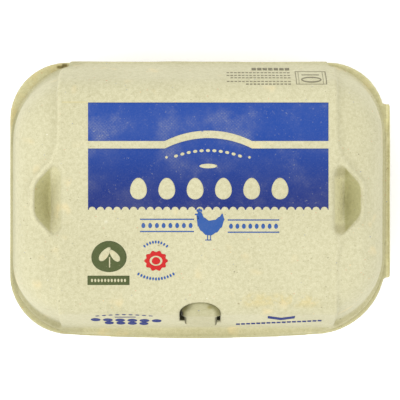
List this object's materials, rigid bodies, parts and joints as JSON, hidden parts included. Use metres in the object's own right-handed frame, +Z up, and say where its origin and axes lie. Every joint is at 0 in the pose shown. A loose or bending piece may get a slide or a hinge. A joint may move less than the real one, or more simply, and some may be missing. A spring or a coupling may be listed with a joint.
{
  "type": "egg carton",
  "caption": "Shut moulded-pulp egg carton: flat label panel on the lid, finger dimples in both ends, arched lock with its button at the front, cupped tray below.",
  "frame": {"origin": "on the ground under the middle of the whole outline, torn strip included", "axes": "+X along the hinge towards the torn strip, +Y towards the hinge at the back, +Z up"},
  "size_m": [0.1522, 0.1106, 0.068],
  "materials": {
    "pulp_lid": "matte",
    "pulp_tray": "matte",
    "pulp_button": "matte",
    "ink_blue": "matte",
    "ink_green": "matte",
    "ink_red": "matte",
    "ink_grey": "matte"
  },
  "bodies": {
    "root": {"tray": "pulp_tray", "lid": "pulp_lid", "lock_button": "pulp_button"}
  },
  "joints": []
}
